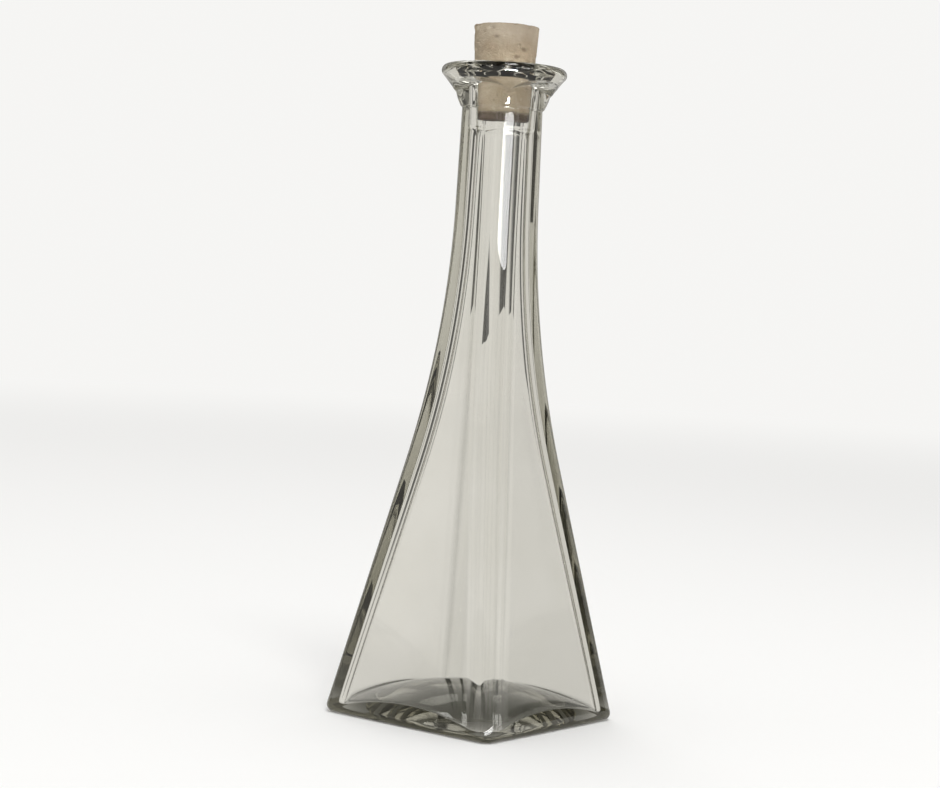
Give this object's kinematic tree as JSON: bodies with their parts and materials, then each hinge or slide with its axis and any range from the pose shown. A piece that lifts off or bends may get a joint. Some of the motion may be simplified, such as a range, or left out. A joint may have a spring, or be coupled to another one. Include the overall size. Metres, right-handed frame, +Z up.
{
  "type": "genie bottle",
  "caption": "Small square glass bottle with a wide foot, a long slender neck, a round flared lip and a tapered cork stopper that lifts out.",
  "frame": {"origin": "centre of the base, on the plane the bottle stands on", "axes": "+Z up along the neck to the cork; +X and +Y square to two of the flat sides"},
  "size_m": [0.0488, 0.0488, 0.1593],
  "materials": {
    "clear_glass": "clear, faintly grey-green, smooth and glossy",
    "natural_cork": "matt natural cork with small pits and darker flecks"
  },
  "bodies": {
    "bottle": {"glass_bottle": "clear_glass"},
    "stopper": {"cork_stopper": "natural_cork"}
  },
  "joints": [
    {"name": "cork_lift", "type": "slide", "parent": "bottle", "child": "stopper", "axis": [0, 0, 1], "range_m": [0, 0.02]}
  ]
}
